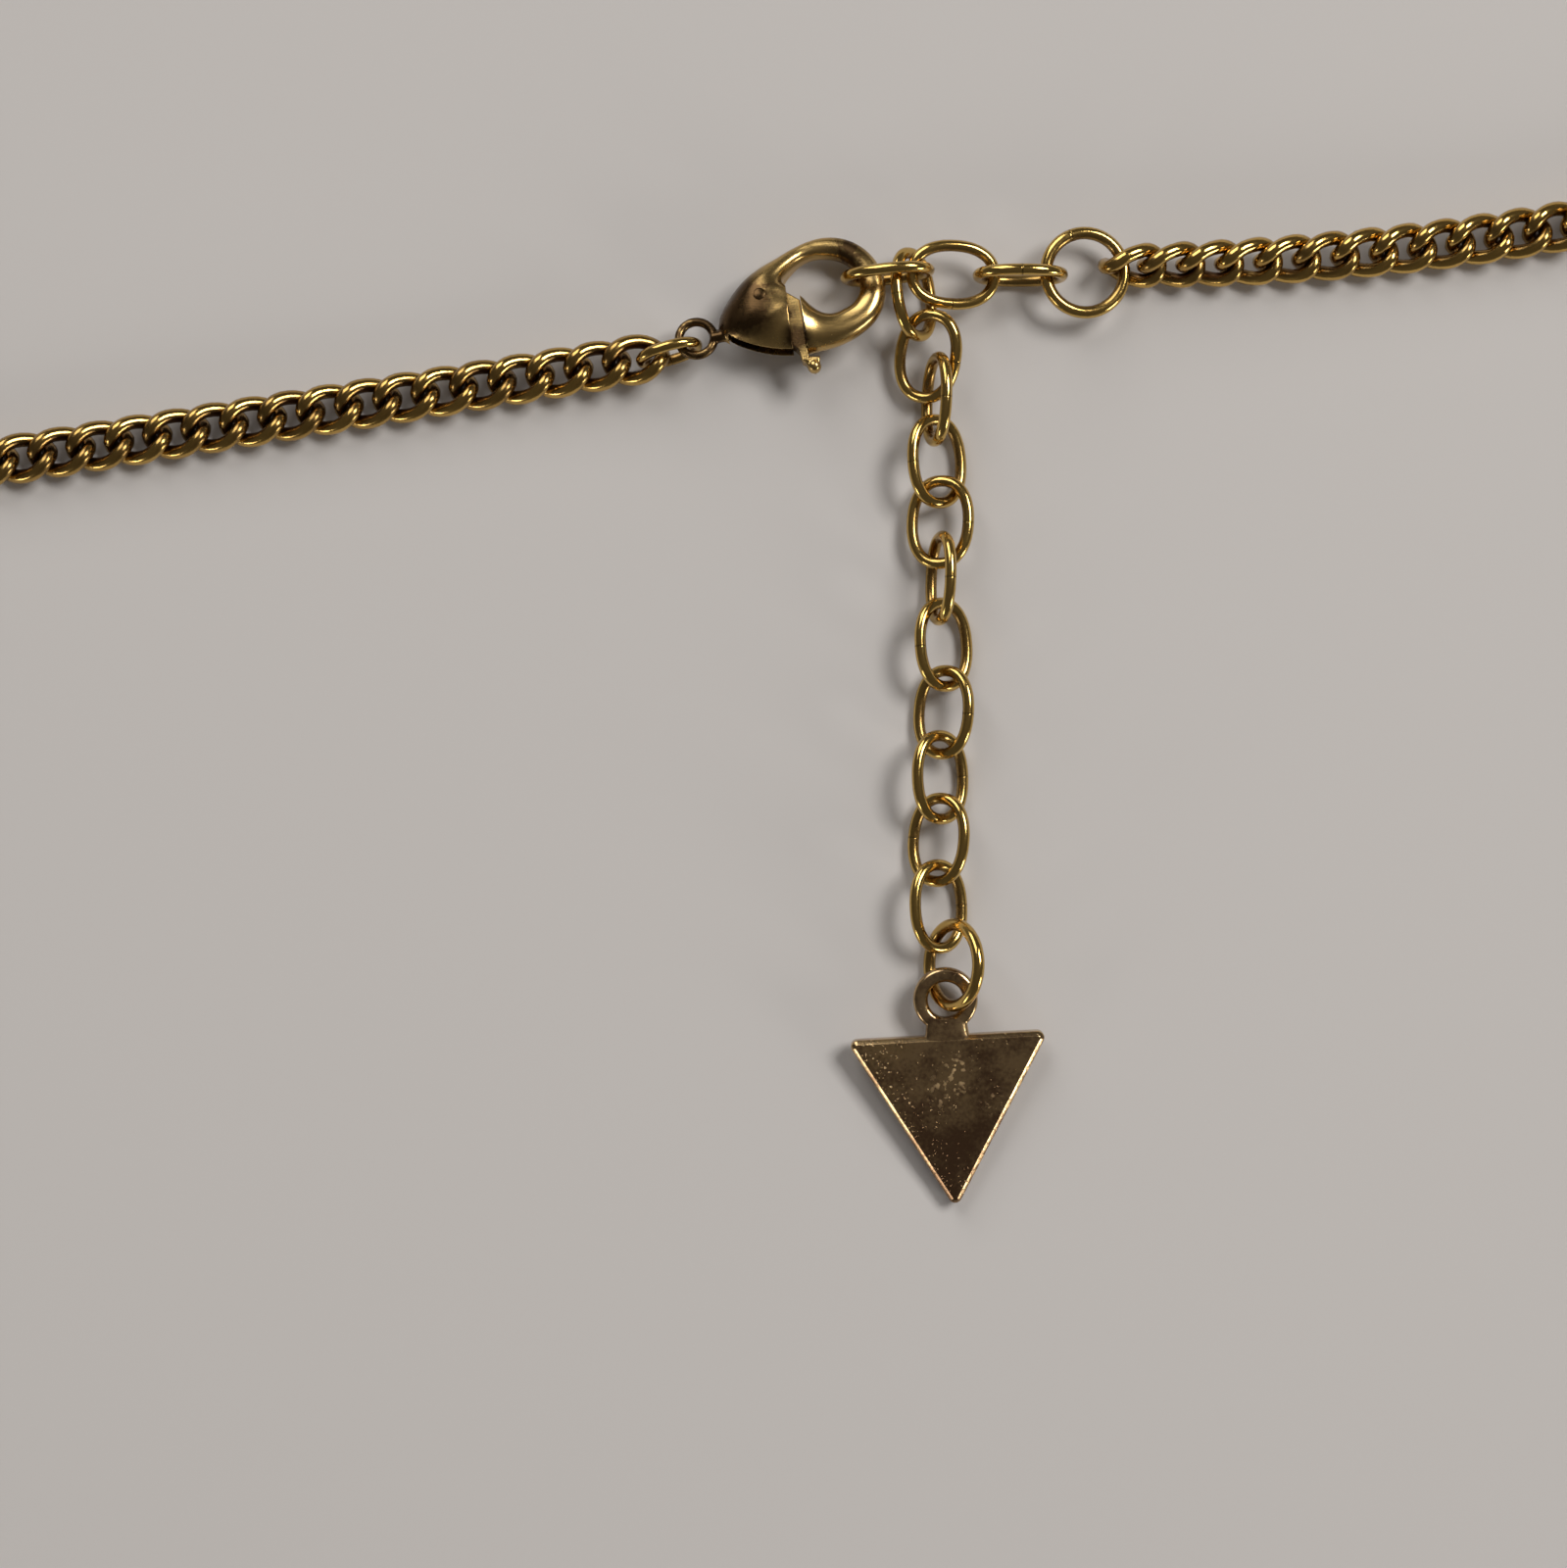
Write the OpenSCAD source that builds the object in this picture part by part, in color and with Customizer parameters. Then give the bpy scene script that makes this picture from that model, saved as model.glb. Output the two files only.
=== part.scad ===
// Necklace of gold-plated brass, lying closed on a flat surface: a curb chain on a lobster clasp,
// and an extender chain that ends in a plain triangular tag. Millimetres, +Z up, the surface at z = 0.

/* [Curb chain] */
// Number of curb links in the whole loop
curb_links = 150; // [148:1:152]
// Wire diameter of a curb link
curb_wire = 0.88; // [0.8:0.02:0.88]
// Length of a curb link along its wire's middle
curb_long = 3.3; // [3.26:0.02:3.34]
// Width of a curb link across its wire's middle
curb_wide = 2.2; // [2.15:0.05:2.25]
// Twist of a curb link from its middle to each end
curb_twist = 55; // [53:1:57]

/* [Extender chain] */
// Outer length of an extender link
link_long = 5.7; // [5.6:0.05:5.8]
// Outer width of an extender link
link_wide = 4.15; // [4.05:0.05:4.2]
// Wire diameter of an extender link
link_wire = 0.7; // [0.6:0.05:0.7]
// Outer diameter of the jump ring between the curb chain and the extender
jump_ring_d = 5.5; // [5.4:0.05:5.6]
// Wire diameter of the jump ring
jump_ring_wire = 0.75; // [0.7:0.05:0.75]

/* [Clasp] */
// Thickness of the clasp's body where it is thickest
clasp_t = 3.3; // [3.2:0.1:3.4]
// Thickness of the clasp's hook
hook_t = 1.4; // [1.3:0.1:1.5]
// Width of the slot that the lever lies in
slot_w = 1.2; // [1.15:0.05:1.3]
// Thickness of the lever's plate
lever_t = 1; // [0.9:0.05:1]
// Diameter of the lever's pin
pin_d = 0.7; // [0.6:0.05:0.7]
// Outer diameter of the clasp's eye
eye_d = 2.65; // [2.5:0.05:2.7]
// Wire diameter of the clasp's eye
eye_wire = 0.55; // [0.5:0.05:0.6]

/* [Tag] */
// Side of the tag between the middles of its rounded corners
tag_side = 10.8; // [10.6:0.1:11]
// Thickness of the tag
tag_t = 1.2; // [1.1:0.05:1.2]
// Radius of the tag's corners
tag_corner_r = 0.4; // [0.35:0.05:0.45]
// Width of the bevel round the tag's faces
tag_bevel = 0.25; // [0.2:0.05:0.3]
// Outer diameter of the tag's eye
tag_eye_d = 3.9; // [3.8:0.1:4]
// Thickness of the tag's eye, which is a ring of round section
tag_eye_wire = 0.9; // [0.8:0.05:0.9]
// Outer diameter of the ring that holds the tag
tag_ring_d = 5.6; // [5.5:0.1:5.7]
// Wire diameter of the ring that holds the tag
tag_ring_wire = 0.75; // [0.7:0.05:0.75]

/* [Hidden] */
$fn = 64;

// Plan positions below are measured from a point under the clasp's end of the necklace.
// This is where the middle of the whole necklace lies from that point.
middle = [-6.99, 41.24];

function on_plan(x, y, z) = [x - middle[0], y - middle[1], z];
function unit(v) = v / norm(v);
function turned(p, a) = [p[0] * cos(a) - p[1] * sin(a), p[0] * sin(a) + p[1] * cos(a), p[2]];
function rolled(p, a) = [p[0], p[1] * cos(a) - p[2] * sin(a), p[1] * sin(a) + p[2] * cos(a)];
function tipped(p, a) = [p[0] * cos(a) - p[2] * sin(a), p[1], p[0] * sin(a) + p[2] * cos(a)];

// Route of the curb chain, clockwise from its link at the clasp to its link at the jump ring
route_start = [-8.85, 25.42];
route_end = [20.9, 31.05];
start_heading = 189;
end_heading = 181;
left_run = 42;
left_turn = 119;
top_turn = 130;
right_r = 22;
ease_r = 170;
ease_turn = 9.5;
right_turn = 360 + start_heading - end_heading - left_turn - top_turn - ease_turn;
top_heading = start_heading - left_turn;
right_heading = top_heading - top_turn;
ease_heading = right_heading - right_turn;

// How far a right-hand bend carries the chain
function bend(heading, turn, r) =
    r * [sin(heading) - sin(heading - turn), cos(heading - turn) - cos(heading)];

// The left and top bends take the radii that close the loop
closing = route_end - route_start - left_run * [cos(start_heading), sin(start_heading)]
    - bend(right_heading, right_turn, right_r) - bend(ease_heading, ease_turn, ease_r);
left_unit = bend(start_heading, left_turn, 1);
top_unit = bend(top_heading, top_turn, 1);
det = left_unit[0] * top_unit[1] - left_unit[1] * top_unit[0];
left_r = (closing[0] * top_unit[1] - closing[1] * top_unit[0]) / det;
top_r = (left_unit[0] * closing[1] - left_unit[1] * closing[0]) / det;

// Each row is a stretch of the route: its length and its bend's radius, 0 where it is straight
stretches = [
    [left_run, 0],
    [left_r * left_turn * PI / 180, left_r],
    [top_r * top_turn * PI / 180, top_r],
    [right_r * right_turn * PI / 180, right_r],
    [ease_r * ease_turn * PI / 180, ease_r]
];
route_length = stretches[0][0] + stretches[1][0] + stretches[2][0] + stretches[3][0] + stretches[4][0];
curb_pitch = route_length / (curb_links - 1);

// Place and heading after s mm of one stretch, and of the whole route
function along(stretch, s, at, heading) =
    stretch[1] == 0 ? [at + s * [cos(heading), sin(heading)], heading]
    : let(turn = s / stretch[1] * 180 / PI) [at + bend(heading, turn, stretch[1]), heading - turn];
function on_route(s, k = 0, at = route_start, heading = start_heading) =
    k == len(stretches) - 1 || s <= stretches[k][0] ? along(stretches[k], s, at, heading)
    : let(next = along(stretches[k], stretches[k][0], at, heading))
        on_route(s - stretches[k][0], k + 1, next[0], next[1]);

// The chain lies flat, is lifted a little at both ends, and is rolled over where the jump ring holds it
curb_flat_z = 0.98;
end_lift = 0.5;
lifted_links = 5;
end_roll = 56;
rolled_links = 20;
lift_per_degree = 0.01;
function curb_roll(i) = -end_roll * pow(max(0, 1 - (curb_links - 1 - i) / rolled_links), 2);
function curb_z(i) =
    curb_flat_z + end_lift * pow(max(0, 1 - i / lifted_links), 2) - lift_per_degree * curb_roll(i);
function curb_slope(i) = atan((curb_z(i + 1) - curb_z(i - 1)) / (2 * curb_pitch));

// A curb link is a rounded oval whose two ends are twisted opposite ways
curb_fullness = 2.4;
curb_stations = 14;
curb_sides = 5;
function rounded(u) = sign(u) * pow(abs(u), 2 / curb_fullness);
function curb_middle(t) =
    let(a = -curb_twist * cos(t), reach = curb_wide / 2 * rounded(sin(t)))
    [curb_long / 2 * rounded(cos(t)), reach * cos(a), reach * sin(a)];
function curb_section(t) =
    let(p = curb_middle(t), dir = unit(curb_middle(t + 1) - curb_middle(t - 1)),
        out = unit(p - (p * dir) * dir), up = cross(dir, out))
    [for (j = [0:curb_sides - 1])
        let(a = 360 * j / curb_sides) p + curb_wire / 2 * (cos(a) * out + sin(a) * up)];
curb_points = [for (k = [0:curb_stations - 1]) each curb_section(360 * k / curb_stations)];
function curb_index(k, j) = (k % curb_stations) * curb_sides + j % curb_sides;
curb_faces = [for (k = [0:curb_stations - 1], j = [0:curb_sides - 1]) each [
    [curb_index(k, j), curb_index(k + 1, j + 1), curb_index(k, j + 1)],
    [curb_index(k, j), curb_index(k + 1, j), curb_index(k + 1, j + 1)]]];

// Each row places an extender link: x, y, z, heading, roll and pitch, from the jump ring to the tag.
// Roll 0 lies flat and 90 stands on edge. Pitch lifts the end that the heading points to.
extender_rows = [
    [14.15, 30.4, 2.1, 0, 87, 0],
    [10.15, 30.45, 1.95, -2, 7, -8],
    [6.2, 30.45, 2.27, 5, 87.6, 12.5],
    [7.8, 29.3, 1.73, -83, -53, 0],
    [8.65, 25.6, 1.75, -99, 18, -14],
    [9.15, 23.0, 2.08, -92, 73, 0],
    [9.2, 19.35, 1.4, -86, -32, 0],
    [9.4, 15.7, 1.4, -93, 16, 4],
    [9.4, 12.3, 2.08, -92, 73, 0],
    [9.6, 8.35, 1.4, -86, -34, 0],
    [9.6, 4.3, 1.35, -94, 34, 0],
    [9.4, 0.4, 1.38, -88, -36, 0],
    [9.3, -3.35, 1.35, -95, 32, 0],
    [9.3, -7.35, 1.35, -87, -34, 0]
];
jump_ring_at = [18.05, 30.6, 1.8];
jump_ring_roll = 6;
tag_ring_at = [10.15, -10.8, 2.4];
tag_ring_heading = -93;
tag_ring_roll = 56;
end_link_at = [-6.85, 25.8, 1.7];
end_link_heading = 16;
end_link_roll = 76;
end_link_long = 4.1;
end_link_wide = 3;
end_link_wire = 0.65;

// The clasp leans a little: the side of its slot is up, and its hook rests on the link through it. Its
// places are measured from the middle of the hook.
hook_at = [2.35, 29.75];
clasp_z = 1.71;
clasp_roll = 12;
clasp_pitch = 3;
pivot = [-3.7, -1];
eye_at = [-7.53, -3.2];
running_gap = 0.05;

// Each row is a section of the clasp's casting, which closes round the opening of the hook: its angle
// about the hook's middle, inner radius, outer radius, and how far it swells from the hook's
// thickness, 0, to the body's, 1
body_rows = [
    [-90, 1.7, 4, 0.3],
    [-70, 1.86, 3.8, 0.2],
    [-50, 1.93, 3.77, 0.12],
    [-30, 2.12, 3.85, 0.06],
    [-10, 2.22, 3.82, 0.02],
    [10, 2.2, 3.7, 0],
    [30, 2.07, 3.52, 0],
    [50, 1.94, 3.36, 0],
    [70, 1.83, 3.2, 0],
    [90, 1.78, 3.05, 0],
    [110, 1.84, 2.95, 0.03],
    [130, 1.93, 3, 0.12],
    [150, 2.07, 3.35, 0.35],
    [165, 2.28, 4.05, 0.6],
    [178, 2.45, 4.95, 0.85],
    [190, 2.13, 5.85, 1],
    [198, 1.88, 6.5, 1],
    [206, 1.75, 6.85, 1],
    [212, 1.68, 6.65, 1],
    [220, 1.6, 6.1, 1],
    [230, 1.56, 5.5, 0.9],
    [242, 1.55, 4.92, 0.7],
    [256, 1.58, 4.4, 0.45]
];
body_sides = 12;

// The slot for the lever, the mouth that the lever closes, the lever's plate and its thumb tab
slot_outline = [[-4.9, -0.15], [-2.4, 0.1], [-1.4, -0.2], [-0.7, -4.9], [-0.7, -5.4], [-4.6, -5.4],
    [-5.6, -3.35], [-5.35, -2.1]];
mouth_outline = [[-2.2, -0.2], [-1.4, -0.2], [-0.7, -4.9], [-1.6, -4.9]];
lever_outline = [[-3.5, -0.25], [-2.3, -0.4], [-1.4, -0.95], [-0.84, -4.6], [-0.8, -4.8], [-1.15, -4.8],
    [-1.35, -4.15], [-4.25, -1.6]];
tab_outline = [[-0.1, -4.45], [-0.1, -4.95], [-0.6, -5.26], [-0.72, -5.17], [-1.3, -4.5]];
lever_knuckle_r = 0.8;
tab_t = 1.1;
tab_tip_at = [-0.45, -4.95];
tab_tip_r = 0.35;
neck_at = [-6.48, -3.15];
neck_heading = 12;
neck_d = 0.75;
neck_l = 1;

module placed_link(row) {
    translate(on_plan(row[0], row[1], row[2])) rotate([row[4], -row[5], row[3]]) children();
}

module wire_ring(outer_d, wire) {
    rotate_extrude() translate([(outer_d - wire) / 2, 0]) circle(d = wire, $fn = 32);
}

module plate(thickness) {
    translate([0, 0, -thickness / 2]) linear_extrude(thickness) children();
}

// An oval link: two half rings joined by two straight wires
module oval_link(long, wide, wire) {
    r = (wide - wire) / 2;
    straight = long - wide;
    for (side = [0, 180]) rotate([0, 0, side]) {
        translate([straight / 2, 0, 0]) rotate([0, 0, -90]) rotate_extrude(angle = 180)
            translate([r, 0]) circle(d = wire, $fn = 32);
        translate([-straight / 2, r, 0]) rotate([0, 90, 0]) cylinder(d = wire, h = straight, $fn = 32);
    }
}

module curb_chain(first, last) {
    link_size = len(curb_points);
    color("goldenrod") polyhedron(
        [for (i = [first:last]) let(at = on_route(i * curb_pitch))
            each [for (p = curb_points) on_plan(at[0][0], at[0][1], curb_z(i))
                + turned(tipped(rolled(p, curb_roll(i)), curb_slope(i)), at[1])]],
        [for (i = [0:last - first], f = curb_faces) [for (v = f) v + i * link_size]]);
}

module end_link() {
    color("goldenrod") placed_link([each end_link_at, end_link_heading, end_link_roll, 0])
        oval_link(end_link_long, end_link_wide, end_link_wire);
}

module clasp_place() {
    color("darkgoldenrod") translate(on_plan(hook_at[0], hook_at[1], clasp_z))
        rotate([-clasp_roll, -clasp_pitch, 0]) children();
}

// The hook and body are one casting, swept in a closed ring round the opening of the hook. The mouth
// is cut through it afterwards.
module body_casting() {
    points = [for (row = body_rows)
        let(mid = (row[1] + row[2]) / 2, half_w = (row[2] - row[1]) / 2,
            half_t = (hook_t + (clasp_t - hook_t) * row[3]) / 2)
        for (j = [0:body_sides - 1])
            let(a = 360 * j / body_sides, r = mid + half_w * cos(a))
            [r * cos(row[0]), r * sin(row[0]), half_t * sin(a)]];
    rows = len(body_rows);
    polyhedron(points, [
        for (k = [0:rows - 1], j = [0:body_sides - 1])
            let(next = (j + 1) % body_sides, a = k * body_sides, b = (k + 1) % rows * body_sides) each
            [[a + j, b + next, b + j], [a + j, a + next, b + next]]
    ]);
}

module clasp_body() {
    clasp_place() {
        difference() {
            union() {
                body_casting();
                translate([neck_at[0], neck_at[1], 0]) rotate([0, 90, neck_heading])
                    cylinder(d = neck_d, h = neck_l, $fn = 32);
            }
            plate(slot_w) polygon(slot_outline);
            plate(2 * clasp_t) polygon(mouth_outline);
            plate(2 * clasp_t) translate(pivot) circle(d = pin_d + running_gap);
        }
        translate([eye_at[0], eye_at[1], 0]) wire_ring(eye_d, eye_wire);
    }
}

// The lever's plate lies in the slot, closes the mouth and carries the thumb tab
module clasp_lever() {
    clasp_place() difference() {
        union() {
            plate(lever_t) {
                translate(pivot) circle(r = lever_knuckle_r);
                polygon(lever_outline);
            }
            plate(tab_t) {
                translate(tab_tip_at) circle(r = tab_tip_r);
                polygon(tab_outline);
            }
        }
        plate(2 * clasp_t) translate(pivot) circle(d = pin_d + 2 * running_gap);
    }
}

module clasp_pin() {
    clasp_place() plate(clasp_t - 0.2) translate(pivot) circle(d = pin_d);
}

module jump_ring() {
    color("goldenrod") placed_link([each jump_ring_at, 90, jump_ring_roll, 0])
        wire_ring(jump_ring_d, jump_ring_wire);
}

module extender_link(k) {
    color("goldenrod") placed_link(extender_rows[k - 1]) oval_link(link_long, link_wide, link_wire);
}

module tag_ring() {
    color("goldenrod") placed_link([each tag_ring_at, tag_ring_heading, tag_ring_roll, 0])
        wire_ring(tag_ring_d, tag_ring_wire);
}

// The tag leans on the ring under its eye, and its tip touches the surface
tag_eye_at = [9.7, -12.9];
tag_turn = 3;
tag_lean = 4.3;
tag_reach = 2.15;
tag_neck = [2.6, 1.1, 0.8];
tag_height = tag_side * sin(60);
tag_length = tag_reach + tag_height + 2 * tag_corner_r;
tag_eye_z = tag_t / 2 * cos(tag_lean) + tag_length * sin(tag_lean);
module triangle_tag() {
    corners = [[-tag_side / 2, 0], [tag_side / 2, 0], [0, -tag_height]];
    color("darkgoldenrod") translate(on_plan(tag_eye_at[0], tag_eye_at[1], tag_eye_z))
        rotate([tag_lean, 0, tag_turn]) {
            hull() for (corner = corners)
                translate([corner[0], corner[1] - tag_reach - tag_corner_r, -tag_t / 2]) tag_corner();
            wire_ring(tag_eye_d, tag_eye_wire);
            translate([0, -tag_reach, 0]) cube(tag_neck, center = true);
        }
}

module tag_corner() {
    cylinder(r1 = tag_corner_r - tag_bevel, r2 = tag_corner_r, h = tag_bevel, $fn = 24);
    translate([0, 0, tag_bevel]) cylinder(r = tag_corner_r, h = tag_t - 2 * tag_bevel, $fn = 24);
    translate([0, 0, tag_t - tag_bevel])
        cylinder(r1 = tag_corner_r, r2 = tag_corner_r - tag_bevel, h = tag_bevel, $fn = 24);
}

curb_chain(0, 74);  // curb_chain_left
curb_chain(75, curb_links - 1);  // curb_chain_right
end_link();
clasp_body();
clasp_lever();
clasp_pin();
jump_ring();
for (k = [1:14]) extender_link(k);
tag_ring();
triangle_tag();
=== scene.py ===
# %% [markdown]
# A tag necklace lies closed on a pale surface. A fine curb chain runs from a lobster clasp round to a
# jump ring. An extender of oval links starts at that ring, holds the clasp's hook in its third link and
# ends in a triangular tag. Every piece is gold-plated brass. The solid model was made in CAD, so its
# places and sizes are fixed. This script gives each piece its true smooth shape and its finish, in
# metres, in the same frame.

# %% Load the CAD model as a fixed frame
import math

import bmesh
import bpy
import numpy as np
from mathutils import Matrix, Vector


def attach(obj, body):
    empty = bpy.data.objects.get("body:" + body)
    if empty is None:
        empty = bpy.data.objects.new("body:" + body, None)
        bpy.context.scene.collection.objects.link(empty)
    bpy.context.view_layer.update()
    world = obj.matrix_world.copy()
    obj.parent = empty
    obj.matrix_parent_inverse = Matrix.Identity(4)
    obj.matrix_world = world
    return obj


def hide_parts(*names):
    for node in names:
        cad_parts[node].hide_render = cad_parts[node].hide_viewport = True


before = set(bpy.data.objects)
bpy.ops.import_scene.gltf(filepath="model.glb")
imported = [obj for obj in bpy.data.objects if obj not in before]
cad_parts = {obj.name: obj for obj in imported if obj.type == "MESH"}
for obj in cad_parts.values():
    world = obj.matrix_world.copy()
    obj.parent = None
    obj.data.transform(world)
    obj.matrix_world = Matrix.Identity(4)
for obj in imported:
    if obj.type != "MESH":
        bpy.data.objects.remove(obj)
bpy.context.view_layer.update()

MM = 0.001

# %% [markdown]
# The photograph was taken from straight above, about 200 mm over the necklace, so pieces that stand
# higher are shifted outwards a little. A camera can be fitted by its field of view or by its lens. The
# lens is worked out here from the width in view, because that width can be measured on the photograph,
# at the level of the chain's middle.

# %% Set the camera
view_centre = (6.99, -41.24)
view_height = 201.2
view_width = 94.06
chain_level = 1.2


def new_object(name, data):
    obj = bpy.data.objects.new(name, data)
    bpy.context.scene.collection.objects.link(obj)
    return obj


camera_data = bpy.data.cameras.new("camera")
camera_data.sensor_fit = "HORIZONTAL"
camera_data.sensor_width = 36.0
camera_data.lens = camera_data.sensor_width * (view_height - chain_level) / view_width
camera_data.clip_start = 10 * MM
camera = new_object("camera", camera_data)
camera.location = (view_centre[0] * MM, view_centre[1] * MM, view_height * MM)
bpy.context.scene.camera = camera
print(f"lens {camera_data.lens:.2f} mm, {view_height} mm above the surface")

# %% [markdown]
# Node trees drive both the finishes and the chains below. Nodes can be added one by one, but the sums
# are then hard to read. A small class wraps a socket instead, so that sums are written as in Python,
# and one method adds any other node: its type, its settings, then the values or links of its sockets.

# %% A socket that takes part in Python sums
class Value:
    def __init__(self, tree, node, out=0):
        self.tree = tree
        self.node = node
        self.socket = node.outputs[out]

    def of(self, out):
        return Value(self.tree, self.node, out)

    def sum(self, operation, *terms):
        node = self.tree.nodes.new("ShaderNodeMath")
        node.operation = operation
        for term, socket in zip(terms, node.inputs):
            plug(self.tree, term, socket)
        return Value(self.tree, node)

    def __add__(self, other):
        return self.sum("ADD", self, other)

    def __radd__(self, other):
        return self.sum("ADD", other, self)

    def __sub__(self, other):
        return self.sum("SUBTRACT", self, other)

    def __rsub__(self, other):
        return self.sum("SUBTRACT", other, self)

    def __mul__(self, other):
        return self.sum("MULTIPLY", self, other)

    def __rmul__(self, other):
        return self.sum("MULTIPLY", other, self)

    def __truediv__(self, other):
        return self.sum("DIVIDE", self, other)

    def __rtruediv__(self, other):
        return self.sum("DIVIDE", other, self)

    def __pow__(self, other):
        return self.sum("POWER", self, other)

    def __abs__(self):
        return self.sum("ABSOLUTE", self)

    def clipped(self):
        return self.sum("MINIMUM", self.sum("MAXIMUM", self, 0.0), 1.0)


def plug(tree, value, socket):
    if isinstance(value, Value):
        tree.links.new(value.socket, socket)
    else:
        socket.default_value = value


# %% One method for every other node
def add(tree, kind, settings=None, inputs=None, out=0):
    """Settings are made first, because some of them decide which sockets the node has."""
    node = tree.nodes.new(kind)
    for name, setting in (settings or {}).items():
        if name == "stops":
            ramp = node.color_ramp
            while len(ramp.elements) < len(setting):
                ramp.elements.new(1.0)
            for element, (place, colour) in zip(ramp.elements, setting):
                element.position = place
                element.color = colour
        else:
            setattr(node, name, setting)
    for name, value in (inputs or {}).items():
        plug(tree, value, node.inputs[name])
    return Value(tree, node, out) if len(node.outputs) else node


def step(tree, value, low, high):
    """0 below low, 1 above high and a soft change between. With low above high it falls instead."""
    return add(tree, "ShaderNodeMapRange", {"interpolation_type": "SMOOTHSTEP"},
        {"Value": value, "From Min": low, "From Max": high, "To Min": 0.0, "To Max": 1.0})


# %% [markdown]
# The surface under the necklace is plain, pale and warm grey. It could be a small card, but a card's
# edge would show in the polished metal, so it is a wide sheet.

# %% Lay the floor
def new_material(name):
    material = bpy.data.materials.new(name)
    material.use_nodes = True
    material.node_tree.nodes.clear()
    return material


floor_size = 1500.0
floor_colour = (0.57, 0.55, 0.54, 1.0)
half = floor_size / 2 * MM
floor_mesh = bpy.data.meshes.new("floor")
floor_mesh.from_pydata([(-half, -half, 0), (half, -half, 0), (half, half, 0), (-half, half, 0)], [],
    [(0, 1, 2, 3)])
floor_finish = new_material("pale_floor")
tree = floor_finish.node_tree
surface = add(tree, "ShaderNodeBsdfPrincipled", {},
    {"Base Color": floor_colour, "Roughness": 0.9, "Specular IOR Level": 0.1})
add(tree, "ShaderNodeOutputMaterial", {}, {"Surface": surface})
floor = new_object("floor", floor_mesh)
floor.data.materials.append(floor_finish)
print(f"floor {floor_size:.0f} mm square")

# %% [markdown]
# Polished metal shows only what stands round it. Straight above is the dark camera, and that is why
# the tag's flat face looks like dark bronze. One sun lamp could give the shadows, but polished metal
# would show it as dots, so large softboxes are used: one high on the right for the bright lines and
# the soft shadows on the left, one wide and dim on the far side, as a window is, for the clasp's soft
# streaks, and two low cards on the near side that only light bevelled edges.

# %% Set the lamps
def softbox(name, place, size, watts, colour):
    """A rectangular lamp that looks at the middle of the view. Its place and size are in mm."""
    lamp = bpy.data.lights.new(name, "AREA")
    lamp.shape = "RECTANGLE"
    lamp.size = size[0] * MM
    lamp.size_y = size[1] * MM
    lamp.energy = watts
    lamp.color = colour
    obj = new_object(name, lamp)
    obj.location = Vector(place) * MM
    look = Vector((*view_centre, 0)) - Vector(place)
    obj.rotation_euler = look.to_track_quat("-Z", "Y").to_euler()
    print(f"{name}: {size[0]} x {size[1]} mm, {watts} W")


card_colour = (1.0, 0.97, 0.92)
softbox("key_softbox", (755, 472, 1075), (620, 440), 13.2, (1.0, 0.975, 0.94))
softbox("window", (-507, 968, 823), (700, 1000), 7.4, (1.0, 0.98, 0.95))
softbox("low_right_card", (1120, -780, 300), (360, 330), 4.0, card_colour)
softbox("low_left_card", (-967, -982, 288), (360, 220), 1.7, card_colour)

# %% Set the sky
sky_stops = [
    (0.0, (0.16, 0.15, 0.14, 1.0)),
    (0.3, (0.09, 0.083, 0.076, 1.0)),
    (0.75, (0.085, 0.078, 0.07, 1.0)),
    (0.97, (0.11, 0.098, 0.09, 1.0)),
]
sky = bpy.data.worlds.new("studio")
sky.use_nodes = True
bpy.context.scene.world = sky
tree = sky.node_tree
tree.nodes.clear()
direction = add(tree, "ShaderNodeTexCoord", {}, {}, "Generated")
height = add(tree, "ShaderNodeSeparateXYZ", {}, {"Vector": direction}, "Z")
sky_colour = add(tree, "ShaderNodeValToRGB", {"stops": sky_stops}, {"Fac": height}, "Color")
backdrop = add(tree, "ShaderNodeBackground", {}, {"Color": sky_colour, "Strength": 1.0})
add(tree, "ShaderNodeOutputWorld", {}, {"Surface": backdrop})
bpy.context.scene.view_settings.view_transform = "Standard"
print("sky with", len(sky_stops), "stops from the floor's level up")

# %% [markdown]
# Thin gold plating on brass is metallic and deep yellow. It is never one colour: the plating is worn
# and satin where it rubs, and brown tarnish stays in the inner curves, where painted shade darkens the
# wires as well. Wear and tarnish could be painted as a picture, but a pattern of noise fits every piece
# at its true scale, so the finish is made of that. The wires bring three attributes of their own: inner
# is 1 in the inner curves and carries tarnish with painted shade, tone is a random number of each curb
# link, and seam is the distance from the joint in mm.

# %% Helpers for finishes
def noise(tree, place, scale, detail=2.0):
    return add(tree, "ShaderNodeTexNoise", {}, {"Vector": place, "Scale": scale, "Detail": detail})


def in_mm(tree):
    place = add(tree, "ShaderNodeTexCoord", {}, {}, "Object")
    return add(tree, "ShaderNodeVectorMath", {"operation": "SCALE"}, {0: place, "Scale": 1 / MM})


def mixed(tree, share, first, second):
    return add(tree, "ShaderNodeMix", {"data_type": "RGBA"}, {0: share, 6: first, 7: second}, 2)


def attribute(tree, name):
    return add(tree, "ShaderNodeAttribute", {"attribute_name": name}, {}, "Fac")


def gilt(tree, colour, roughness, relief):
    """The metal itself. Only its colour, roughness and relief change over a piece."""
    surface = add(tree, "ShaderNodeBsdfPrincipled", {}, {"Base Color": colour, "Metallic": 1.0,
        "Roughness": roughness.clipped(), "Normal": relief})
    add(tree, "ShaderNodeOutputMaterial", {}, {"Surface": surface})


# %% Make the wire platings
seam_reach = 0.055
seam_core = 0.02
seam_colour = (0.05, 0.025, 0.008, 1.0)
# The wires get darker and rougher towards the left of the necklace: not yet at the first x below, in full
# at the second
darkening_start = 12.0
darkening_full = -8.0
darkening_share = 0.22


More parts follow.
